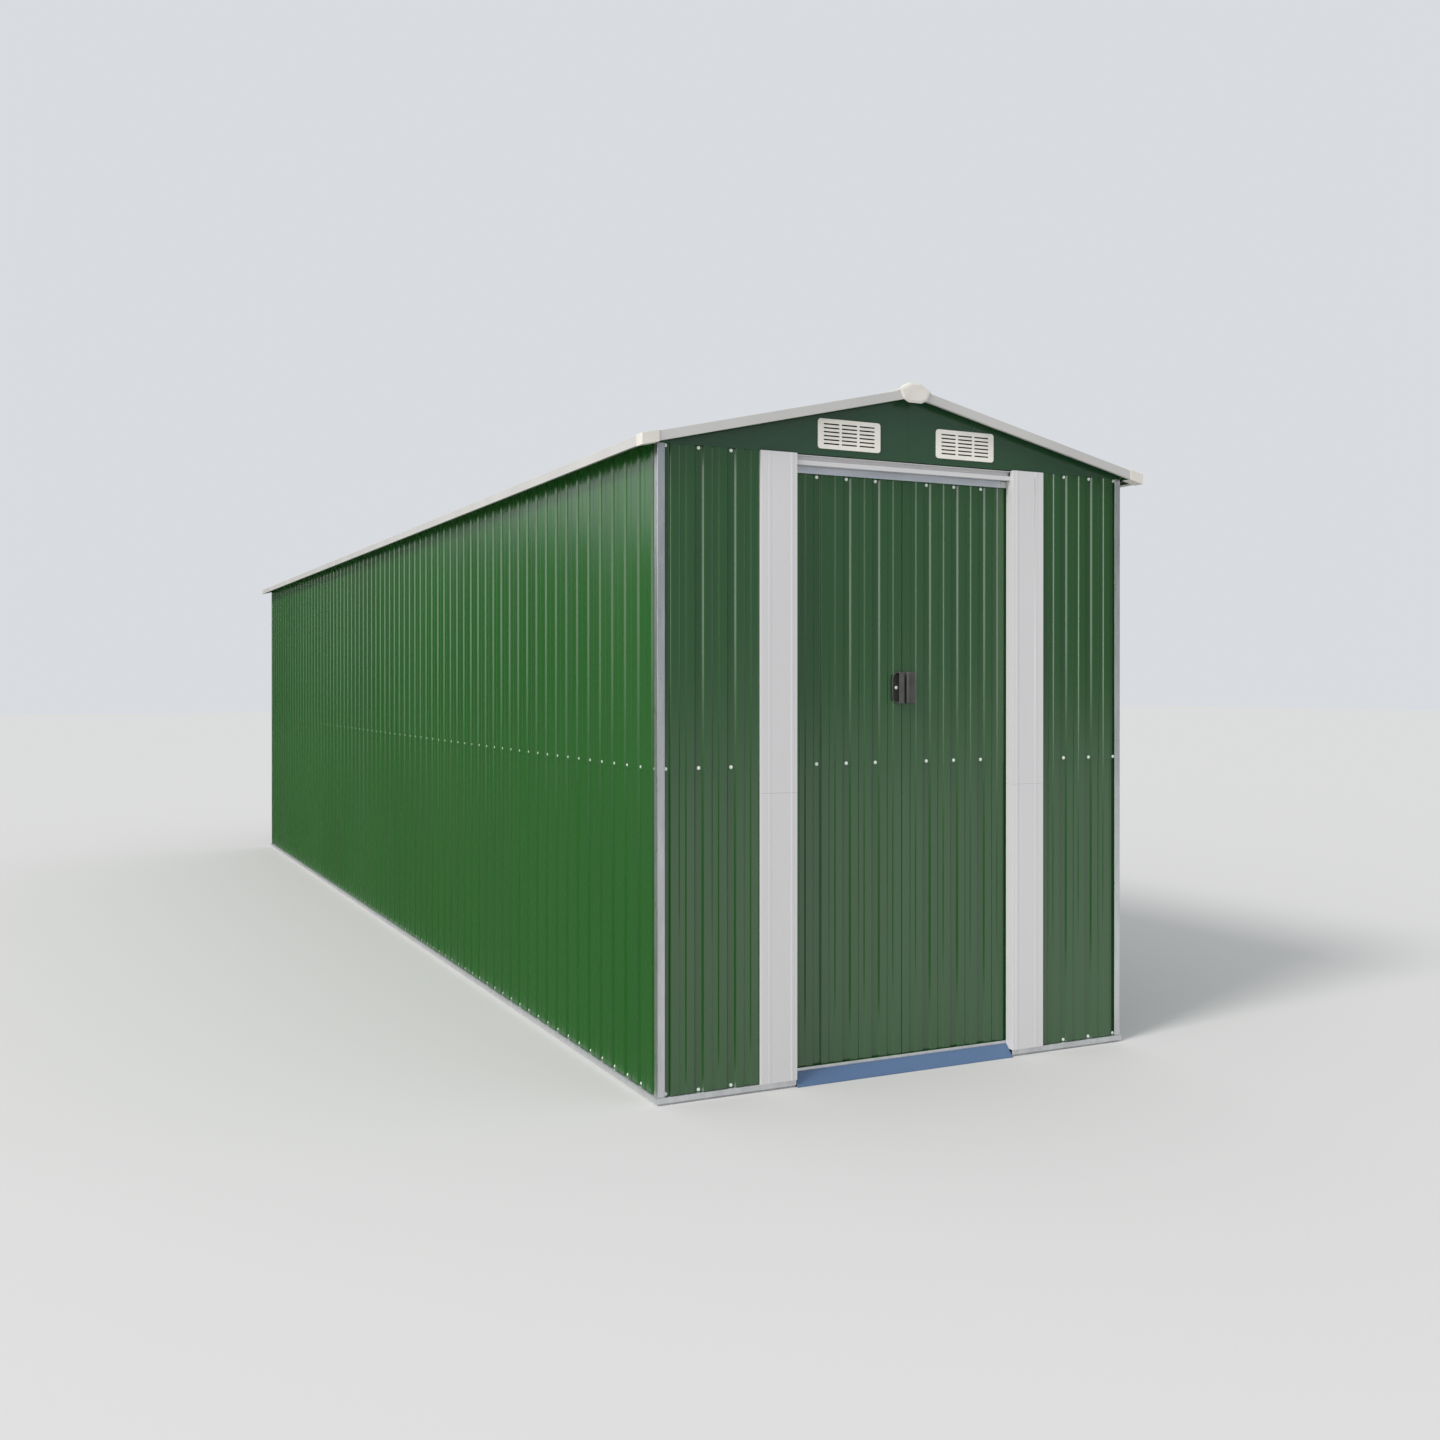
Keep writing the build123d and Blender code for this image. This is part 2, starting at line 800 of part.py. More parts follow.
def leaf_glides(sign):
    """Hangers in the slot of the top track and guides in the bottom channel."""
    start, end = leaf_span(sign)
    head = track_lip + steel + running_gap
    foot = guide_floor + steel + running_gap
    stem = head + hanger_head - leaf_top - seat
    with BuildPart() as glides:
        for station in (start + glide_inset, end - glide_inset):
            with BuildSketch(cross_plane("front", station - glide_length / 2)):
                with Locations((track_centre, leaf_top + seat)):
                    Rectangle(track_slot - 4.0, stem, align=(Align.CENTER, Align.MIN))
                with Locations((track_centre, head)):
                    Rectangle(2 * track_half - 4.0, hanger_head, align=(Align.CENTER, Align.MIN))
                with Locations((track_centre, foot)):
                    Rectangle(2 * track_half - 4.0, glide_shoe, align=(Align.CENTER, Align.MIN))
            extrude(amount=glide_length)
    return glides.part


def door_handle(sign):
    """A moulded handle at the meeting edge of a leaf: a plate with an upright grip or ridge."""
    width = handle_left_width if sign < 0 else handle_right_width
    grip = grip_width if sign < 0 else ridge_width
    inset = 0.0 if sign < 0 else ridge_inset
    meeting = wall_width / 2 + sign * handle_inset
    plane = face_plane("front", leaf_depth - seat)
    with BuildPart() as handle:
        with BuildSketch(plane) as plate:
            with Locations((meeting + sign * width / 2, handle_centre)):
                Rectangle(width, handle_height)
            if sign < 0:
                fillet(plate.vertices().group_by(Axis.X)[0], radius=handle_radius)
        extrude(amount=handle_plate)
        with BuildSketch(plane):
            with Locations((meeting + sign * (inset + grip / 2), handle_centre)):
                Rectangle(grip, handle_height)
        extrude(amount=handle_proud)
        chamfer(handle.faces().sort_by(Axis.Y)[0].edges(), length=handle_edge)
    return handle.part


for sign, name in ((-1, "door_left"), (1, "door_right")):
    finish(door_leaf(sign), name + "_leaf")
    finish(leaf_frame(sign), name + "_frame")
    finish(leaf_glides(sign), name + "_glides")
    finish(door_handle(sign), name + "_handle")
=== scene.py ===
import json
import math

import bmesh
import bpy
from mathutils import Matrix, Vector


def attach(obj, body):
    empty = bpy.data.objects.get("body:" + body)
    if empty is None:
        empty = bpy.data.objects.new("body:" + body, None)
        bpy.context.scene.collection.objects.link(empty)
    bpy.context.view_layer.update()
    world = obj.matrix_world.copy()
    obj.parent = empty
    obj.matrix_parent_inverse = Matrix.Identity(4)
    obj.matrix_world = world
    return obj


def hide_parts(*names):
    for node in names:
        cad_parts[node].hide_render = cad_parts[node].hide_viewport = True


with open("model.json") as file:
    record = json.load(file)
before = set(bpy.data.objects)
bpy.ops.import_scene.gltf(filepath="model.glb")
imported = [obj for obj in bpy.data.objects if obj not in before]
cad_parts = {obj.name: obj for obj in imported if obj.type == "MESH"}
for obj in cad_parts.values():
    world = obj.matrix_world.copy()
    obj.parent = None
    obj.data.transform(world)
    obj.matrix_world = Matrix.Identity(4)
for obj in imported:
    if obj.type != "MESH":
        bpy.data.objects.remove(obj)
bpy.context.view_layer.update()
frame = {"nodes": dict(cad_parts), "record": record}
nodes = frame["nodes"]

# Sizes of the shed in metres, as in the part's source
WIDTH = 1.790
LENGTH = 7.648
WALL = 1.992
DOORWAY = 0.834
STRIP_WIDTH = 0.129
PITCH = math.radians(13.0)
CREST_RISE = 0.0274
RIDGE = WALL + CREST_RISE + math.tan(PITCH) * WIDTH / 2
MIDDLE = WIDTH / 2
JAMB_END = (WIDTH - DOORWAY) / 2
STRIP = JAMB_END - STRIP_WIDTH

# Thickness of the sheets and of the folded sections, and the gap of a screwed joint
SHEET = 0.0010
FOLD = 0.0015
SEAT = 0.0002

# How far inside the solids the pieces of the header, the rails and the track keep
INSIDE = 0.0001

# How far the faces of the upper course, the lower course and the leaves lie behind the wall's line
UPPER = 0.0052
LOWER = 0.0064
LEAF = 0.040

# The pitch of the deep grooves, and the lap of the two courses
GROOVE = 0.110
LAP = 1.000
LAP_OVER = 0.022
LAP_SCREWS = LAP + LAP_OVER / 2

# Where each wall starts, which way it runs, and which way leads inside
START = {
    "front": Vector((-WIDTH / 2, -LENGTH / 2, 0)),
    "right": Vector((WIDTH / 2, -LENGTH / 2, 0)),
    "rear": Vector((WIDTH / 2, LENGTH / 2, 0)),
    "left": Vector((-WIDTH / 2, LENGTH / 2, 0)),
}
ALONG = {
    "front": Vector((1, 0, 0)),
    "right": Vector((0, 1, 0)),
    "rear": Vector((-1, 0, 0)),
    "left": Vector((0, -1, 0)),
}
INWARD = {side: Vector((0, 0, 1)).cross(ALONG[side]) for side in ALONG}


def on_wall(side, along, depth, height):
    """A point by its distance along a wall, behind the wall's line and above the ground."""
    return START[side] + ALONG[side] * along + INWARD[side] * depth + Vector((0, 0, height))


def upright(side):
    """Places a line that is drawn in plan on a wall, at each height of its run."""
    return lambda along, depth, height: on_wall(side, along, depth, height)


# Materials: the grain lies in the object's own space, and a ramp runs over the middle of the noise
EVEN = (1, 1, 1)
RAMP = (0.35, 0.65)
TONE_DETAIL = 4.0
GLOSS_DETAIL = 5.0
GLOSS_FINER = 3
GLOSS_SPREAD = 0.15
BUMP_GRAIN = 420.0
BUMP_DETAIL = 2.0


def new_material(name):
    """A material, its node tree and its shader."""
    material = bpy.data.materials.new(name)
    material.use_nodes = True
    tree = material.node_tree
    return material, tree, tree.nodes["Principled BSDF"]


def noise(tree, scale, detail, stretch=EVEN):
    """Noise in the object's space, stretched along the axes."""
    place = tree.nodes.new("ShaderNodeTexCoord")
    mapping = tree.nodes.new("ShaderNodeMapping")
    mapping.inputs["Scale"].default_value = stretch
    tree.links.new(place.outputs["Object"], mapping.inputs["Vector"])
    texture = tree.nodes.new("ShaderNodeTexNoise")
    texture.inputs["Scale"].default_value = scale
    texture.inputs["Detail"].default_value = detail
    tree.links.new(mapping.outputs["Vector"], texture.inputs["Vector"])
    return texture.outputs["Fac"]


def ramp(tree, source, low, high):
    """A colour that goes from low to high over the middle of the source's range."""
    band = tree.nodes.new("ShaderNodeValToRGB")
    for element, position, tone in zip(band.color_ramp.elements, RAMP, (low, high)):
        element.position = position
        element.color = (*tone, 1)
    tree.links.new(source, band.inputs["Fac"])
    return band.outputs["Color"]


def bump(tree, shader, height, strength, distance):
    """A fine relief on the shader's normal."""
    node = tree.nodes.new("ShaderNodeBump")
    node.inputs["Strength"].default_value = strength
    node.inputs["Distance"].default_value = distance
    tree.links.new(height, node.inputs["Height"])
    tree.links.new(node.outputs["Normal"], shader.inputs["Normal"])


def finish_of(
    name, low, high, roughness, grain,
    stretch=EVEN, metallic=0.0, dent=0.05, dent_depth=0.0004, ior=1.5,
):
    """Colour that drifts between two tones, uneven gloss and a fine bump."""
    material, tree, shader = new_material(name)
    tone = ramp(tree, noise(tree, grain, TONE_DETAIL, stretch), low, high)
    tree.links.new(tone, shader.inputs["Base Color"])
    smooth = (roughness * (1 - GLOSS_SPREAD),) * 3
    rough = (roughness * (1 + GLOSS_SPREAD),) * 3
    gloss = ramp(tree, noise(tree, grain * GLOSS_FINER, GLOSS_DETAIL, stretch), smooth, rough)
    tree.links.new(gloss, shader.inputs["Roughness"])
    shader.inputs["Metallic"].default_value = metallic
    shader.inputs["IOR"].default_value = ior
    bump(tree, shader, noise(tree, BUMP_GRAIN, BUMP_DETAIL), dent, dent_depth)
    return material


PAINT_IOR = 1.8
green = finish_of(
    "green_coat", (0.0190, 0.107, 0.0178), (0.0225, 0.117, 0.0213),
    roughness=0.22, grain=1.2, stretch=(1, 1, 0.35), dent=0.06, ior=PAINT_IOR,
)
# A darker copy of the green coat for the front, the rear and the leaves: painted shade, as these faces
# get less light than the long sides
green_front_painted_shade = finish_of(
    "green_coat_front_painted_shade", (0.0150, 0.078, 0.0155), (0.0185, 0.086, 0.0190),
    roughness=0.19, grain=1.2, stretch=(1, 1, 0.35), dent=0.06, ior=PAINT_IOR,
)
# A darker, greyer copy of the green coat for the gables: painted shade from the trims above them
green_gable_painted_shade = finish_of(
    "green_gable_painted_shade", (0.0170, 0.066, 0.0240), (0.0205, 0.074, 0.0280),
    roughness=0.24, grain=1.5, ior=PAINT_IOR,
)
zinc = finish_of(
    "galvanised", (0.62, 0.63, 0.65), (0.72, 0.73, 0.75),
    roughness=0.32, grain=30.0, stretch=(1, 1, 0.2), metallic=0.86, dent=0.08,
)
trim = finish_of(
    "trim_white", (0.525, 0.515, 0.498), (0.570, 0.560, 0.543),
    roughness=0.45, grain=4.0,
)
strip = finish_of(
    "strip_grey", (0.645, 0.632, 0.638), (0.690, 0.677, 0.683),
    roughness=0.42, grain=2.0, stretch=(1, 1, 0.3),
)
cream = finish_of(
    "plastic_cream", (0.850, 0.820, 0.740), (0.900, 0.870, 0.790),
    roughness=0.5, grain=25.0, dent=0.25,
)
# A darker copy of the cream plastic for the ridge end caps and the eave corner caps: painted shade, as
# the caps stand in more light than the vents
cap_painted_shade = finish_of(
    "plastic_cap_painted_shade", (0.700, 0.670, 0.610), (0.750, 0.720, 0.660),
    roughness=0.5, grain=25.0, dent=0.25,
)
# A lighter, bluer and less metallic copy of the galvanised finish for the top track: painted reflection
# of a brighter surround
track_painted_light = finish_of(
    "galvanised_track_painted_light", (0.66, 0.69, 0.74), (0.76, 0.79, 0.84),
    roughness=0.34, grain=30.0, stretch=(0.2, 1, 1), metallic=0.6, dent=0.08,
)
dark = finish_of(
    "plastic_dark", (0.066, 0.066, 0.063), (0.088, 0.088, 0.084),
    roughness=0.45, grain=40.0, dent=0.4, dent_depth=0.0005,
)
# A darker copy of the handle's plastic for the pocket's floor: painted shade in the recess
pocket_painted_shade = finish_of(
    "plastic_pocket_painted_shade", (0.034, 0.034, 0.033), (0.042, 0.042, 0.041),
    roughness=0.6, grain=40.0, dent=0.4, dent_depth=0.0005,
)
blue = finish_of(
    "blue_sill", (0.076, 0.142, 0.268), (0.094, 0.165, 0.300),
    roughness=0.45, grain=5.0, stretch=(0.3, 1, 1),
)
glide = finish_of(
    "plastic_glide", (0.02, 0.02, 0.02), (0.03, 0.03, 0.03),
    roughness=0.5, grain=40.0, dent=0.3, dent_depth=0.0005,
)
screw_metal = finish_of(
    "screw_head", (0.74, 0.82, 0.74), (0.84, 0.90, 0.83),
    roughness=0.35, grain=200.0, dent=0.1, dent_depth=0.0002,
)

# Each CAD node takes the finish of its slot, but for the gables, the caps and the top track, which take
# copies with painted shade (gables, caps) and painted light (track)
FINISHES = {
    "green_sheet": green,
    "galvanised": zinc,
    "trim_white": trim,
    "strip_grey": strip,
    "plastic_cream": cream,
    "plastic_dark": dark,
    "blue_sill": blue,
    "plastic_glide": glide,
}
for part in frame["record"]["subparts"]:
    name = part["node"]
    if name.startswith(("front_gable", "rear_gable")):
        finish = green_gable_painted_shade
    elif name in ("ridge_end_caps", "eave_corner_caps"):
        finish = cap_painted_shade
    elif name == "top_track":
        finish = track_painted_light
    else:
        finish = FINISHES[part["material_slot"]]
    nodes[name].data.materials.clear()
    nodes[name].data.materials.append(finish)

# Folds of the CAD trims, rails and caps get a small radius
SOFT_EDGES = {
    "corner_posts": 0.0012,
    "door_sill": 0.0010,
    "top_track": 0.0005,
    "front_barge_trims": 0.0012,
    "rear_barge_trims": 0.0012,
    "left_eave_trim": 0.0012,
    "right_eave_trim": 0.0012,
    "ridge_cap": 0.0012,
    "ridge_end_caps": 0.0022,
    "eave_corner_caps": 0.0009,
}
for name, radius in SOFT_EDGES.items():
    weld = nodes[name].modifiers.new("weld", "WELD")
    weld.merge_threshold = 0.00001
    bevel = nodes[name].modifiers.new("bevel", "BEVEL")
    bevel.width = radius
    bevel.segments = 3
    bevel.limit_method = "ANGLE"
    bevel.angle_limit = math.radians(25)
    bevel.harden_normals = True

# Mesh helpers: points closer than this are merged, and a corner wider than this angle is left as it is
MERGE = 0.000002
STRAIGHT = math.radians(178)

# A fold's arc: the number of its chords, and the most that it takes of the runs beside it
ARC_STEPS = 3
ARC_SHARE = 0.49

# The least cosine of a mitre, so that it is at most twice as long as the sheet is thick
MITRE_LEAST = 0.5


def rounded_box(width, height, radius, centre=(0, 0), corners=(1, 1, 1, 1), steps=4):
    """A rectangle's outline, anticlockwise from its upper right corner, with rounded corners."""
    points = []
    for turn, (right, up) in enumerate(((1, 1), (-1, 1), (-1, -1), (1, -1))):
        r = radius * corners[turn]
        middle = (centre[0] + right * (width / 2 - r), centre[1] + up * (height / 2 - r))
        for step in range(steps + 1 if r else 1):
            angle = (turn + step / steps) * math.pi / 2
            points.append((middle[0] + r * math.cos(angle), middle[1] + r * math.sin(angle)))
    return points


def moulding(side, centre, depth, thickness, outlines, edge):
    """A flat plate on a wall with rounded edges: the first outline is its rim, the rest are holes."""
    curve = bpy.data.curves.new("outline", "CURVE")
    curve.dimensions = "2D"
    curve.fill_mode = "BOTH"
    curve.extrude = thickness / 2 - edge
    curve.bevel_depth = edge
    curve.bevel_resolution = 2
    curve.offset = -edge
    for outline in outlines:
        spline = curve.splines.new("POLY")
        spline.points.add(len(outline) - 1)
        for point, (a, b) in zip(spline.points, outline):
            point.co = (a, b, 0, 1)
        spline.use_cyclic_u = True
    source = bpy.data.objects.new("outline", curve)
    mesh = bpy.data.meshes.new_from_object(source)
    verts = [
        on_wall(side, centre[0] + v.co.x, depth - thickness / 2 - v.co.z, centre[1] + v.co.y)
        for v in mesh.vertices
    ]
    faces = [tuple(polygon.vertices) for polygon in mesh.polygons]
    bpy.data.meshes.remove(mesh)
    bpy.data.objects.remove(source)
    bpy.data.curves.remove(curve)
    return verts, faces


def piece(name, verts, faces, material, body, stands_for=(), sharp=35.0):
    """A mesh object that rides on a body, whose broad faces shade flat between their rounded folds."""
    mesh = bpy.data.meshes.new(name)
    mesh.from_pydata([tuple(v) for v in verts], [], faces)
    mesh.materials.append(material)
    obj = bpy.data.objects.new(name, mesh)
    bpy.context.scene.collection.objects.link(obj)
    shape = bmesh.new()
    shape.from_mesh(mesh)
    bmesh.ops.remove_doubles(shape, verts=shape.verts, dist=MERGE)
    bmesh.ops.recalc_face_normals(shape, faces=shape.faces)
    shape.to_mesh(mesh)
    shape.free()
    for polygon in mesh.polygons:
        polygon.use_smooth = True
    mesh.set_sharp_from_angle(angle=math.radians(sharp))
    flats = obj.modifiers.new("flats", "WEIGHTED_NORMAL")
    flats.keep_sharp = True
    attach(obj, body)
    if stands_for:
        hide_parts(*stands_for)


def rounded_line(points, radius):
    """A polyline whose inner corners are arcs."""
    line = [points[0]]
    for before, corner, after in zip(points, points[1:], points[2:]):
        a, b, c = Vector(before), Vector(corner), Vector(after)
        u, v = (a - b).normalized(), (c - b).normalized()
        angle = u.angle(v)
        if angle > STRAIGHT:
            continue
        longest = ARC_SHARE * min((a - b).length, (c - b).length)
        reach = min(radius / math.tan(angle / 2), longest)
        for step in range(ARC_STEPS + 1):
            t = step / ARC_STEPS
            p, q = b + u * reach * (1 - t), b + v * reach * t
            line.append(tuple(p.lerp(q, t)))
    line.append(points[-1])
    return line


def offset_line(line, distance):
    """The line moved to its left by a distance."""
    moved = []
    for index, point in enumerate(line):
        before = Vector(line[max(index - 1, 0)])
        after = Vector(line[min(index + 1, len(line) - 1)])
        along = (after - before).normalized()
        left = Vector((-along.y, along.x))
        here = Vector(point)
        if 0 < index < len(line) - 1:
            first = (here - before).normalized()
            stretch = max(Vector((-first.y, first.x)).dot(left), MITRE_LEAST)
            left = left / stretch
        moved.append(tuple(here + left * distance))
    return moved


def extruded(place, line, thickness, start, end):
    """Vertices and faces of a sheet: an outer line given thickness and run from start to end."""
    ring = list(line) + list(reversed(offset_line(line, thickness)))
    verts = [place(a, b, s) for s in (start, end) for a, b in ring]
    count = len(ring)
    faces = []
    for n in range(count):
        m = (n + 1) % count
        faces.append((n, m, count + m, count + n))
    for n in range(len(line) - 1):
        for base in (0, count):
            faces.append((base + n, base + n + 1, base + count - 2 - n, base + count - 1 - n))
    return verts, faces


def merged(shapes):
    """Several vertex and face lists as one."""
    verts, faces = [], []
    for some, these in shapes:
        base = len(verts)
        verts.extend(some)
        faces.extend(tuple(base + i for i in face) for face in these)
    return verts, faces


# Kinds of groove: width at the mouth, width at the floor, and depth
DEEP = (0.031, 0.022, 0.0060)
SHALLOW = (0.026, 0.018, 0.0023)
FAINT = (0.026, 0.018, 0.0012)
SHEET_DEPTH = DEEP[2] + SHEET

# The least flat between the end of a sheet and its first groove, and the tolerance of the count
END_FLAT = 0.003
NEAR = 1e-6

# Grooves and the radius of their folds, on the front and rear and on the long sides
FRONT_RIBS = ((DEEP, SHALLOW), 0.0013)
SIDE_RIBS = ((DEEP, FAINT), 0.0022)

# The least angle of a sharp edge, in degrees, on folded sheet and on mouldings
FOLD_SHARP = 30
MOULD_SHARP = 40


def rib_line(start, end, first, depth, pitch, ribs):
    """The outer face of a ribbed sheet with its kinds of groove in turn, and the first kind's middles."""
    kinds, radius = ribs
    grooves = []
    for n, kind in enumerate(kinds):
        mouth = kind[0]
        offset = first + pitch * n / len(kinds)
        low = math.ceil((start + END_FLAT + mouth / 2 - offset) / pitch - NEAR)
        high = math.floor((end - END_FLAT - mouth / 2 - offset) / pitch + NEAR)
        grooves += [(offset + pitch * k, kind) for k in range(low, high + 1)]
    points = [(start, depth)]
    for centre, (mouth, floor, drop) in sorted(grooves):
        points += [
            (centre - mouth / 2, depth),
            (centre - floor / 2, depth + drop),
            (centre + floor / 2, depth + drop),
            (centre + mouth / 2, depth),
        ]
    points.append((end, depth))
    middles = [centre for centre, kind in sorted(grooves) if kind is kinds[0]]
    return rounded_line(points, radius), middles


def wall_course(node, side, span, depth, foot, top, material):
    """One course of a wall in place of its node, and the middles of its deep grooves."""
    start, end, first = span
    ribs = SIDE_RIBS if side in ("left", "right") else FRONT_RIBS
    line, centres = rib_line(start, end, first, depth, GROOVE, ribs)
    verts, faces = extruded(upright(side), line, SHEET, foot, top)
    piece(node + "_sheet", verts, faces, material, "shed", [node], FOLD_SHARP)
    return centres


# A screw's outlines by radius and height: a washer, and the round head that stands on it
SCREW_SIDES = 12
WASHER_RADIUS = 0.0058
HEAD_RADIUS = 0.0042
HEAD_FOOT = (HEAD_RADIUS * 1.02, 0.0015)
HEAD_HEIGHT = 0.0038
SCREW_WASHER = (
    (WASHER_RADIUS, 0.0),
    (WASHER_RADIUS, 0.0009),
    (WASHER_RADIUS * 0.86, 0.0013),
    HEAD_FOOT,
)
SCREW_HEAD = (
    HEAD_FOOT,
    (HEAD_RADIUS, HEAD_HEIGHT * 0.85),
    (HEAD_RADIUS * 0.82, HEAD_HEIGHT),
)


def screw_shape():
    """A round head on a washer, standing on z = 0 and facing +z."""
    verts, faces = [], []
    for outline in (SCREW_WASHER, SCREW_HEAD):
        rings = []
        for radius, height in outline:
            base = len(verts)
            for k in range(SCREW_SIDES):
                angle = 2 * math.pi * k / SCREW_SIDES
                verts.append((radius * math.cos(angle), radius * math.sin(angle), height))
            rings.append(list(range(base, base + SCREW_SIDES)))
        for low, high in zip(rings, rings[1:]):
            for k in range(SCREW_SIDES):
                m = (k + 1) % SCREW_SIDES
                faces.append((low[k], low[m], high[m], high[k]))
    faces.append(tuple(rings[-1]))
    return verts, faces


SCREW = screw_shape()


def screws(name, spots, body="shed", size=1.0):
    """Screw heads at (point, outward normal) spots."""
    shapes = []
    for point, normal in spots:
        turn = normal.to_track_quat("Z", "Y").to_matrix() * size
        shapes.append(([point + turn @ Vector(v) for v in SCREW[0]], SCREW[1]))
    verts, faces = merged(shapes)
    piece(name, verts, faces, screw_metal, body, (), MOULD_SHARP)


def wall_spots(side, centres, heights, depths):
    """Screw places in the floors of the deep grooves."""
    return [
        (on_wall(side, c, d + DEEP[2], z), -INWARD[side])
        for c in centres
        for z, d in zip(heights, depths)
    ]


# Walls: the ends of each sheet and its first groove, then the heights of the courses and the screws
CORNER_GAP = 0.001
END = UPPER + SHEET + SEAT + CORNER_GAP
SIDE = LOWER + SHEET_DEPTH + CORNER_GAP
WING = JAMB_END - 0.012
FRONT_FIRST = 0.033
SIDE_FIRST = 0.040
# The front wings and the rear wall take the darker copy of the green coat, a painted shade
WALLS = {
    "front_wing_left": ("front", (END, WING, FRONT_FIRST), green_front_painted_shade),
    "front_wing_right": ("front", (WIDTH - WING, WIDTH - END, WIDTH - FRONT_FIRST), green_front_painted_shade),
    "left_wall": ("left", (SIDE, LENGTH - SIDE, LENGTH - SIDE_FIRST), green),
    "right_wall": ("right", (SIDE, LENGTH - SIDE, SIDE_FIRST), green),
    "rear_wall": ("rear", (END, WIDTH - END, FRONT_FIRST), green_front_painted_shade),
}
SHEET_FOOT = 0.025
SHEET_TOP = WALL + 0.011
FRONT_ROWS = (0.0315, LAP_SCREWS, 1.9855)
SIDE_ROWS = FRONT_ROWS[:2]
SIDE_SCREW = 0.8
STRIP_CLEAR = 0.006
RIGHT_WING_SHIFT = 0.004
for name, (side, span, material) in WALLS.items():
    wall_course(name + "_lower", side, span, LOWER, SHEET_FOOT, LAP + LAP_OVER, material)
    centres = wall_course(name + "_upper", side, span, UPPER, LAP, SHEET_TOP, material)
    if side == "front":
        centres = [c for c in centres if not STRIP - STRIP_CLEAR < c < WIDTH - STRIP + STRIP_CLEAR]
    if name == "front_wing_right":
        centres = [c + RIGHT_WING_SHIFT for c in centres]
    rows, size = (SIDE_ROWS, SIDE_SCREW) if side in ("left", "right") else (FRONT_ROWS, 1.0)
    screws(name + "_screws", wall_spots(side, centres, rows, (LOWER, UPPER, UPPER)), size=size)

# Sliding leaves: the lower course lies behind the upper one, and the screws keep off the outer edge
LEAF_FOOT = 0.036
LEAF_TOP = 1.950
LEAF_WIDTH = 0.4358
LEAF_GAP = 0.0012
LEAF_GROOVE = 0.0995
LEAF_ROWS = (LAP_SCREWS, 1.9285)
LEAF_SCREWS = 0.40
LEAF_COURSES = (
    (LEAF + SHEET + SEAT, LEAF_FOOT, LAP + LAP_OVER),
    (LEAF, LAP, LEAF_TOP),
)
for sign, body in ((-1, "door_left"), (1, "door_right")):
    start, end = sorted((MIDDLE + sign * LEAF_GAP, MIDDLE + sign * (LEAF_GAP + LEAF_WIDTH)))
    courses = []
    for depth, low, high in LEAF_COURSES:
        line, centres = rib_line(start, end, MIDDLE + sign * LEAF_GROOVE, depth, GROOVE, FRONT_RIBS)
        courses.append(extruded(upright("front"), line, SHEET, low, high))
    verts, faces = merged(courses)
    # The leaves take the darker copy of the green coat, a painted shade
    piece(body + "_sheets", verts, faces, green_front_painted_shade, body, [body + "_leaf"], FOLD_SHARP)
    kept = [c for c in centres if abs(c - MIDDLE) < LEAF_SCREWS]
    screws(body + "_screws", wall_spots("front", kept, LEAF_ROWS, (LEAF, LEAF)), body)

# Handles: a pocket with a screw beside an upright grip on the left, a plate with a ridge on the right
HANDLE_AT = (MIDDLE, 1.255)
HANDLE_BACK = LEAF - SEAT
HANDLE_TALL = 0.104
HANDLE_PROUD = 0.0200
PLATE_THICK = 0.0060
PLATE_EDGE = 0.0016
GRIP = (-0.0220, -0.0030)
GRIP_WIDTH = GRIP[1] - GRIP[0]
GRIP_MIDDLE = (GRIP[0] + GRIP[1]) / 2
GRIP_THICK = 0.0036
GRIP_EDGE = 0.0015
GRIP_BACK = HANDLE_BACK - HANDLE_PROUD + GRIP_THICK
STEM = 0.0075
STEM_PROUD = HANDLE_PROUD - 0.0010
STEM_EDGE = 0.0005
CHEEK = 0.0040
POCKET_FLOOR = 0.0018
POCKET_EDGE = 0.0004
POCKET_SCREW = 0.0235
RIDGE_EDGE = 0.0040
left_plate = rounded_box(
    width=0.036, height=HANDLE_TALL, radius=0.021,
    centre=(-0.021, 0), corners=(0.1, 1, 1, 0.1), steps=6,
)
left_pocket = rounded_box(
    width=0.026, height=HANDLE_TALL - 0.012, radius=0.014,
    centre=(-0.024, 0), corners=(0.2, 1, 1, 0.2), steps=6,
)
left_stem = rounded_box(STEM, HANDLE_TALL - 0.001, radius=0.001, centre=(GRIP[1] - STEM / 2, 0))
left_grip = rounded_box(GRIP_WIDTH, HANDLE_TALL, radius=0.002, centre=(GRIP_MIDDLE, 0))
lower_cheek, upper_cheek = (
    rounded_box(GRIP_WIDTH, CHEEK, radius=0.001, centre=(GRIP_MIDDLE, end * (HANDLE_TALL - CHEEK) / 2))
    for end in (-1, 1)
)
pocket_floor = rounded_box(width=0.030, height=HANDLE_TALL - 0.008, radius=0.012, centre=(-0.0225, 0))
right_plate = rounded_box(width=0.045, height=HANDLE_TALL, radius=0.004, centre=(0.0255, 0))
right_ridge = rounded_box(width=0.011, height=HANDLE_TALL, radius=0.004, centre=(0.0135, 0))


def handle_part(depth, thickness, outlines, edge):
    """A moulding at the handles' height."""
    return moulding("front", HANDLE_AT, depth, thickness, outlines, edge)


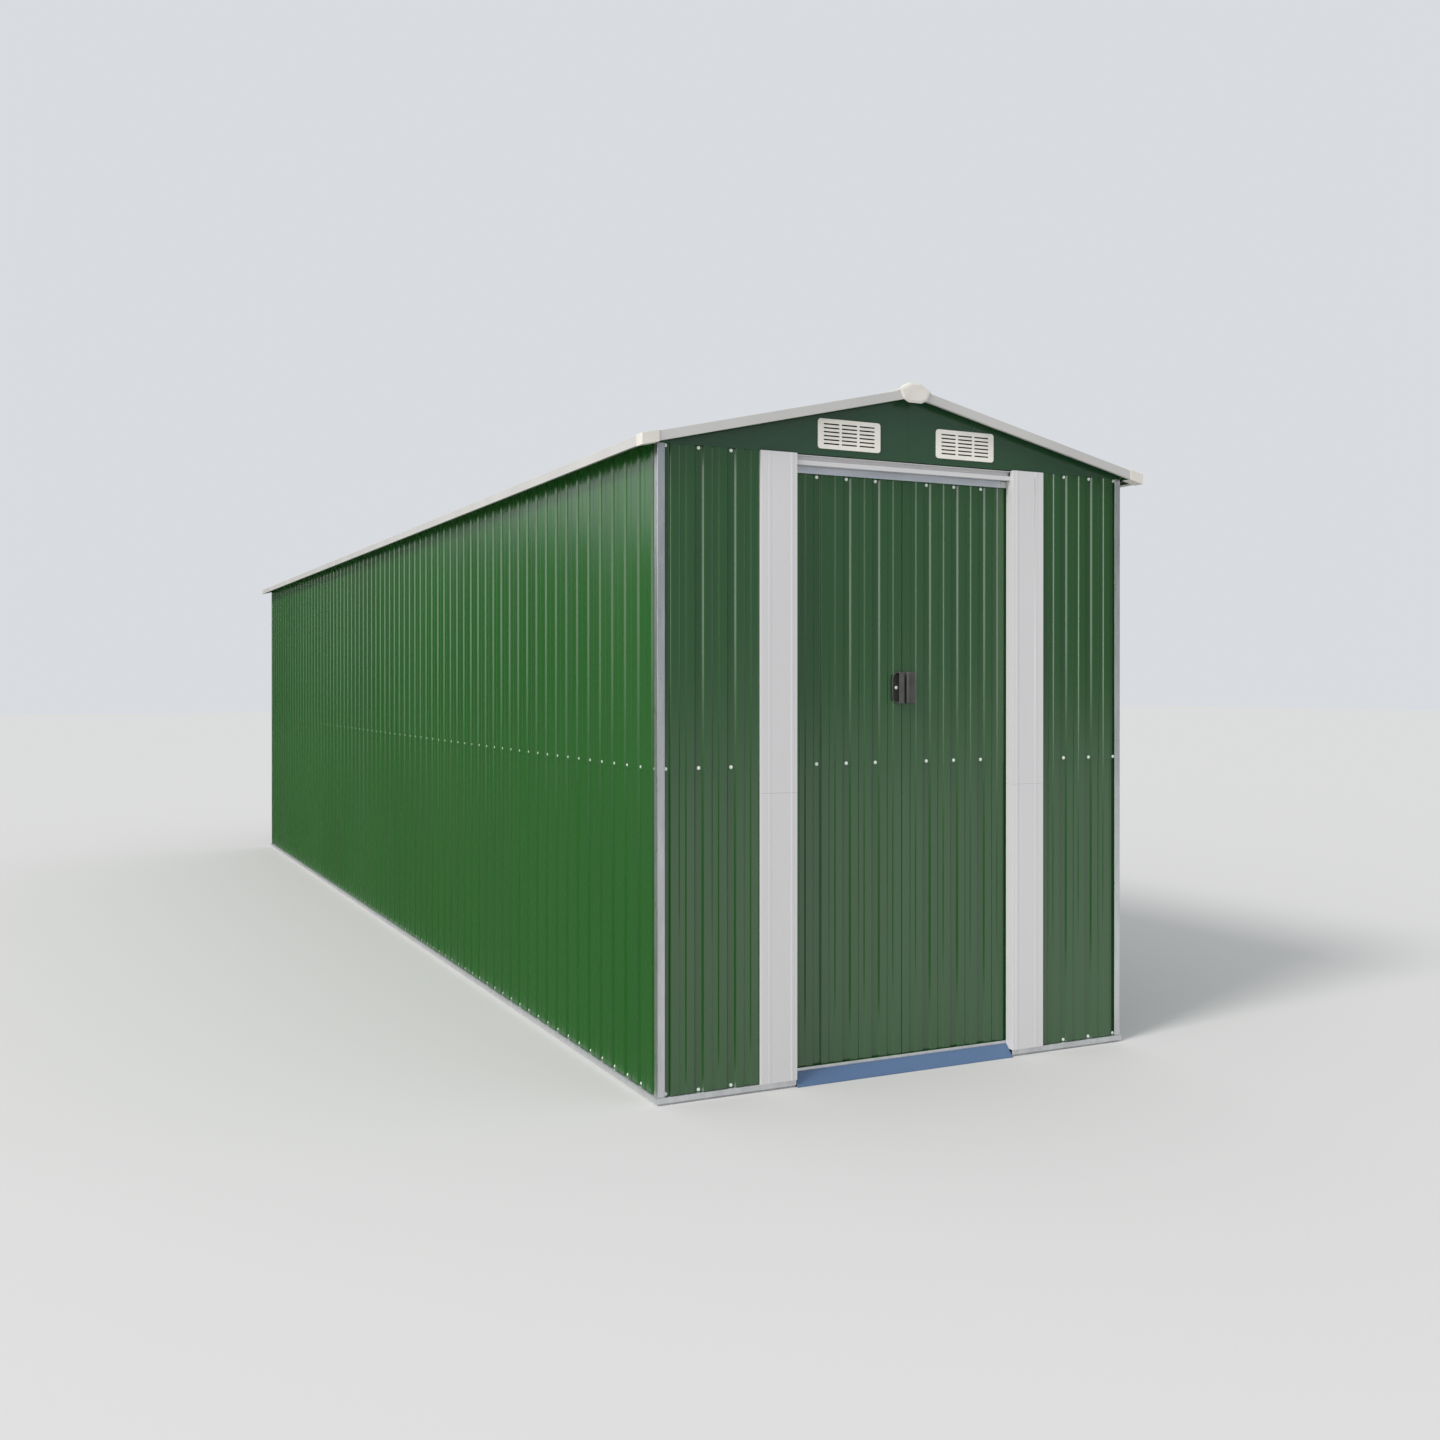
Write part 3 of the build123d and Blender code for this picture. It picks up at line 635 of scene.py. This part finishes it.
verts, faces = merged([
    handle_part(HANDLE_BACK, PLATE_THICK, [left_plate, left_pocket], PLATE_EDGE),
    handle_part(HANDLE_BACK, STEM_PROUD, [left_stem], STEM_EDGE),
    handle_part(GRIP_BACK, GRIP_THICK, [left_grip], GRIP_EDGE),
    handle_part(HANDLE_BACK, STEM_PROUD, [lower_cheek], STEM_EDGE),
    handle_part(HANDLE_BACK, STEM_PROUD, [upper_cheek], STEM_EDGE),
])
left_nodes = ["door_left_handle"]
piece("door_left_grip", verts, faces, dark, "door_left", left_nodes, MOULD_SHARP)
# The pocket's floor takes the darker plastic, a painted shade
verts, faces = handle_part(HANDLE_BACK, POCKET_FLOOR, [pocket_floor], POCKET_EDGE)
piece("door_left_pocket", verts, faces, pocket_painted_shade, "door_left")
pocket_spot = on_wall("front", MIDDLE - POCKET_SCREW, HANDLE_BACK - POCKET_FLOOR, HANDLE_AT[1])
screws("door_left_handle_screw", [(pocket_spot, -INWARD["front"])], "door_left")
verts, faces = merged([
    handle_part(HANDLE_BACK, PLATE_THICK, [right_plate], PLATE_EDGE),
    handle_part(HANDLE_BACK, HANDLE_PROUD, [right_ridge], RIDGE_EDGE),
])
right_nodes = ["door_right_handle"]
piece("door_right_grip", verts, faces, dark, "door_right", right_nodes, MOULD_SHARP)

# Jamb strips: a flat face with two faint raised beads, returned to the wing and back beside the leaf
JAMB_PROUD = 0.006
BEAD_RISE = 0.0009
JAMB_FACE = BEAD_RISE - JAMB_PROUD
JAMB_BACK = 0.0325
JAMB_CUT = 0.0122
JAMB_FOOT = 0.0242
JAMB_JOINT = 0.927
JAMB_ROUND = 0.0018
HEADER_TOP = WALL - 0.003
HEADER_FOOT = HEADER_TOP - 0.0305
BEADS = (
    (STRIP + 0.0245, STRIP + 0.0385, 0.0005),
    (JAMB_END - 0.0245, JAMB_END - 0.0110, BEAD_RISE),
)
FLANK = 0.0035


def jamb_line(mirror, back):
    """A strip in plan, from the wing's face to the given depth beside the leaf."""
    points = [(STRIP, UPPER - SEAT), (STRIP, JAMB_FACE)]
    for low, high, rise in BEADS:
        bead = JAMB_FACE - rise
        points += [(low, JAMB_FACE), (low + FLANK, bead), (high - FLANK, bead), (high, JAMB_FACE)]
    points += [(JAMB_END, JAMB_FACE), (JAMB_END, back)]
    if mirror:
        points = [(WIDTH - a, b) for a, b in reversed(points)]
    return rounded_line(points, JAMB_ROUND)


# The return beside the leaf is cut short at the header
JAMBS = {
    "lower": ((JAMB_FOOT, JAMB_JOINT - SEAT, JAMB_BACK),),
    "upper": (
        (JAMB_JOINT + SEAT, HEADER_FOOT - SEAT, JAMB_BACK),
        (HEADER_FOOT - SEAT, WALL - SEAT, JAMB_CUT),
    ),
}
for level, spans in JAMBS.items():
    verts, faces = merged([
        extruded(upright("front"), jamb_line(mirror, back), FOLD, low, high)
        for mirror in (False, True)
        for low, high, back in spans
    ])
    node = "door_jambs_" + level
    piece("door_strips_" + level, verts, faces, strip, "shed", [node], FOLD_SHARP)

# Header: a shaded upper band and a lower band folded forward, and the clips at the track's ends
HEADER_BAND = 0.0205
HEADER_FACE = 0.0105
HEADER_LIP = 0.0234
HEADER_ROUND = 0.0012
BAND_TOP = HEADER_TOP - 0.0022
BAND_FOOT = HEADER_TOP - 0.0130
FACE_TOP = HEADER_TOP - 0.0158
header_line = [
    (UPPER + INSIDE, HEADER_TOP - FOLD - SEAT),
    (HEADER_BAND, BAND_TOP),
    (HEADER_BAND, BAND_FOOT),
    (HEADER_FACE, FACE_TOP),
    (HEADER_FACE, HEADER_FOOT + INSIDE),
    (HEADER_LIP, HEADER_FOOT + INSIDE),
]
verts, faces = extruded(
    lambda depth, height, along: on_wall("front", along, depth, height),
    rounded_line(header_line, HEADER_ROUND), FOLD, JAMB_END + SEAT, WIDTH - JAMB_END - SEAT,
)
piece("door_header_fold", verts, faces, strip, "shed", ["door_header"], FOLD_SHARP)
TRACK_FACE = 0.03375
TRACK_FOOT = 1.936
TRACK_TOP = 1.9575
TRACK_MIDDLE = (TRACK_FOOT + TRACK_TOP) / 2
CLIP = (0.024, 0.0195, 0.003)
CLIP_THICK = 0.0026
CLIP_EDGE = 0.0008
CLIP_IN = 0.0135
CLIP_BACK = TRACK_FACE - INSIDE
verts, faces = merged([
    moulding("front", (x, TRACK_MIDDLE), CLIP_BACK, CLIP_THICK, [rounded_box(*CLIP)], CLIP_EDGE)
    for x in (JAMB_END + CLIP_IN, WIDTH - JAMB_END - CLIP_IN)
])
piece("track_end_clips", verts, faces, trim, "shed")

# Base rails by depth and height: a rounded face over a recess at the ground, a ledge and an upstand
LEDGE = LOWER + SHEET_DEPTH + SEAT
LEDGE_HEIGHT = 0.0239
rail_line = [
    (0.030, INSIDE),
    (0.0062, INSIDE),
    (0.0048, 0.0042),
    (0.0002, 0.0066),
    (INSIDE, 0.0235),
    (0.0030, LEDGE_HEIGHT),
    (LEDGE + INSIDE, LEDGE_HEIGHT),
    (LEDGE + INSIDE, 0.050),
]
RAIL_ROUND = 0.0014
RAIL_THICK = -0.0014
RAIL_GAP = 0.0001
RAIL_END = JAMB_END - 0.0017
RAILS = {
    "front_base_rails": (
        ("front", 0, True, RAIL_END, False),
        ("front", WIDTH - RAIL_END, False, WIDTH, True),
    ),
    "left_base_rail": (("left", 0, True, LENGTH, True),),
    "right_base_rail": (("right", 0, True, LENGTH, True),),
    "rear_base_rail": (("rear", 0, True, WIDTH, True),),
}


def rail_place(side, start, mitre_start, end, mitre_end):
    """Places the rail's line at either end of its run, cut at 45 degrees where it is mitred."""
    def place(depth, height, at_end):
        low = start + (depth + RAIL_GAP if mitre_start else 0)
        high = end - (depth + RAIL_GAP if mitre_end else 0)
        return on_wall(side, high if at_end else low, depth, height)
    return place


for node, runs in RAILS.items():
    verts, faces = merged([
        extruded(rail_place(*run), rounded_line(rail_line, RAIL_ROUND), RAIL_THICK, 0, 1)
        for run in runs
    ])
    name = node.replace("base", "foot")
    piece(name, verts, faces, zinc, "shed", [node], FOLD_SHARP)

# Gable vents: a plain plate with rounded edges and rows of slots
VENT = (0.232, 0.096, 0.010)
VENT_THICK = 0.0040
VENT_EDGE = 0.0009
VENT_AT = 0.224
VENT_RISE = 0.069
GABLE = 0.004
SLOT = (0.058, 0.0044)
SLOT_RADIUS = SLOT[1] / 2
SLOT_COLUMN = 0.066
SLOT_ROW = 0.0125
slots = [
    rounded_box(*SLOT, SLOT_RADIUS, (column * SLOT_COLUMN, row * SLOT_ROW), steps=3)
    for column in (-1, 0, 1)
    for row in (-2.5, -1.5, -0.5, 0.5, 1.5, 2.5)
]
plate = rounded_box(*VENT, steps=6)
verts, faces = merged([
    moulding(
        side, (MIDDLE + sign * VENT_AT, WALL + VENT_RISE),
        GABLE, VENT_THICK, [plate] + slots, VENT_EDGE,
    )
    for side in ("front", "rear")
    for sign in (-1, 1)
])
piece("vent_grilles", verts, faces, cream, "shed", ["gable_vents"], MOULD_SHARP)

# Roof sheets: ribs up to the crest plane, with shallow swages on the pans between them
EAVE_OVER = 0.0625
EAVE_FACE = WIDTH / 2 + EAVE_OVER
GABLE_OVER = 0.036
ROOF_RUN = LENGTH + 2 * GABLE_OVER - 2 * FOLD - 2 * SEAT
ROOF_PAN = 0.008
ROOF_RIB = (0.044, 0.024, -ROOF_PAN)
ROOF_SWAGE = (0.026, 0.016, -0.0016)
ROOF_RIBS = ((ROOF_RIB, ROOF_SWAGE, ROOF_SWAGE, ROOF_SWAGE), 0.0013)
ROOF_PITCH = 0.330
ROOF_START = 0.008
ROOF_END = (EAVE_FACE - FOLD - SEAT) / math.cos(PITCH)
ROOF_ROWS = (0.459, 0.893)


def on_slope(sign, along, depth, down):
    """A point on a slope: along the ridge, below the crest plane and down from the ridge."""
    x = down * math.cos(PITCH) - depth * math.sin(PITCH)
    z = RIDGE - down * math.sin(PITCH) - depth * math.cos(PITCH)
    return Vector((sign * x, sign * (ROOF_RUN / 2 - along), z))


for sign, name in ((-1, "roof_left"), (1, "roof_right")):
    line, centres = rib_line(0, ROOF_RUN, ROOF_RUN / 2, ROOF_PAN, ROOF_PITCH, ROOF_RIBS)
    verts, faces = extruded(
        lambda along, depth, down: on_slope(sign, along, depth, down),
        line, SHEET, ROOF_START, ROOF_END,
    )
    piece(name + "_sheets", verts, faces, green, "shed", [name], FOLD_SHARP)
    up = Vector((sign * math.sin(PITCH), 0, math.cos(PITCH)))
    screws(name + "_screws", [(on_slope(sign, c, 0, down), up) for c in centres for down in ROOF_ROWS])

# Camera: its place, turn, lens and shift are fitted to the photograph
PHOTO_PIXELS = 1440
SHIFT_PIXELS = -30.87
camera = bpy.data.objects.new("camera", bpy.data.cameras.new("camera"))
bpy.context.scene.collection.objects.link(camera)
camera.location = (-2.575, -7.729, 1.264)
camera.rotation_euler = (math.radians(90 - 0.169), 0, math.radians(-25.83))
camera.data.sensor_width = 36
camera.data.lens = 35.475
camera.data.shift_y = SHIFT_PIXELS / PHOTO_PIXELS
camera.data.clip_end = 200
bpy.context.scene.camera = camera

# A plain pale floor
FLOOR = 60
floor_mesh = bpy.data.meshes.new("floor")
floor_corners = [(-FLOOR, -FLOOR, 0), (FLOOR, -FLOOR, 0), (FLOOR, FLOOR, 0), (-FLOOR, FLOOR, 0)]
floor_mesh.from_pydata(floor_corners, [], [(0, 1, 2, 3)])
floor = bpy.data.objects.new("floor", floor_mesh)
bpy.context.scene.collection.objects.link(floor)
floor_material, _, floor_shader = new_material("floor")
floor_shader.inputs["Base Color"].default_value = (0.675, 0.668, 0.658, 1)
floor_shader.inputs["Roughness"].default_value = 0.9
floor_shader.inputs["Specular IOR Level"].default_value = 0
floor_mesh.materials.append(floor_material)

# Soft studio light: a pale surround, a large key light and a wide sun, both from the left and front
world = bpy.data.worlds.new("studio")
bpy.context.scene.world = world
world.use_nodes = True
world.node_tree.nodes["Background"].inputs["Color"].default_value = (0.86, 0.89, 0.93, 1)
world.node_tree.nodes["Background"].inputs["Strength"].default_value = 0.80

WARM = (1.0, 0.98, 0.94)
KEY_AT = Vector((-11.5, -7.4, 4.0))
KEY_TOWARDS = Vector((0, -3.6, 1.2))
SUN_WAY = Vector((1.0, 0.30, -0.85))
key = bpy.data.lights.new("key", "AREA")
key.shape = "RECTANGLE"
key.size = 9
key.size_y = 5.6
key.energy = 240
key.color = WARM
key_object = bpy.data.objects.new("key", key)
bpy.context.scene.collection.objects.link(key_object)
key_object.location = KEY_AT
key_object.rotation_euler = (KEY_TOWARDS - KEY_AT).to_track_quat("-Z", "Y").to_euler()
key_object.visible_camera = False
sun = bpy.data.lights.new("sun", "SUN")
sun.energy = 1.85
sun.angle = math.radians(16.0)
sun.color = WARM
sun_object = bpy.data.objects.new("sun", sun)
bpy.context.scene.collection.objects.link(sun_object)
sun_object.rotation_euler = SUN_WAY.to_track_quat("-Z", "Y").to_euler()


def card(name, corners, colour, strength):
    """A glowing studio card that only gloss sees."""
    mesh = bpy.data.meshes.new(name)
    mesh.from_pydata(corners, [], [(0, 1, 2, 3)])
    obj = bpy.data.objects.new(name, mesh)
    bpy.context.scene.collection.objects.link(obj)
    material, _, shader = new_material(name)
    shader.inputs["Base Color"].default_value = (0, 0, 0, 1)
    shader.inputs["Specular IOR Level"].default_value = 0
    shader.inputs["Emission Color"].default_value = (*colour, 1)
    shader.inputs["Emission Strength"].default_value = strength
    mesh.materials.append(material)
    obj.visible_camera = False
    obj.visible_diffuse = False
    obj.visible_shadow = False
    obj.visible_transmission = False


# Cards in front of the shed stand side by side: name, left end, right end, colour and strength
CARD_Y = -30
CARD_TOP = 24
FRONT_CARDS = (
    ("card_dim", -45, -12.4, (0.80, 0.90, 0.95), 0.22),
    ("card_bright", -12.4, -5.0, (0.90, 1.00, 0.92), 3.00),
    ("card_middle", -5.0, 3.2, (0.80, 0.90, 0.95), 0.30),
    ("card_front", 3.2, 23.0, (0.80, 0.87, 1.00), 0.31),
    ("card_flag", 23.0, 60.0, (0.85, 1.00, 0.70), 0.12),
)
for name, low, high, colour, strength in FRONT_CARDS:
    ends = ((low, 0), (high, 0), (high, CARD_TOP), (low, CARD_TOP))
    card(name, [(x, CARD_Y, z) for x, z in ends], colour, strength)

# Two cards stand like hedges to the left and behind: name and the two ends
FAR_LEFT = -45
HEDGE = (0.8, 1.0, 0.8)
HEDGE_GLOW = 0.06
HEDGE_TOP = 7.5
HEDGE_CARDS = (
    ("card_left", (FAR_LEFT, 0), (FAR_LEFT, 46)),
    ("card_rear", (FAR_LEFT, 45), (10, 45)),
)
for name, near, far in HEDGE_CARDS:
    corners = [(*near, 0), (*far, 0), (*far, HEDGE_TOP), (*near, HEDGE_TOP)]
    card(name, corners, HEDGE, HEDGE_GLOW)

# Three cards lie just above the floor like grass: name, corners and strength
GRASS = (0.7, 1.0, 0.6)
GRASS_HEIGHT = 0.003
GRASS_CARDS = (
    ("card_ground_left", [(FAR_LEFT, -3.9), (-0.93, -3.9), (-0.93, 45), (FAR_LEFT, 45)], 0.11),
    ("card_ground_front", [(FAR_LEFT, -3.91), (FAR_LEFT, -29), (6.2, -29), (-0.95, -3.91)], 0.05),
    ("card_ground_right", [(2.2, -4.0), (36, -36), (60, -36), (60, -4.0)], 0.05),
)
for name, corners, strength in GRASS_CARDS:
    card(name, [(x, y, GRASS_HEIGHT) for x, y in corners], GRASS, strength)
bpy.context.scene.view_settings.view_transform = "Standard"
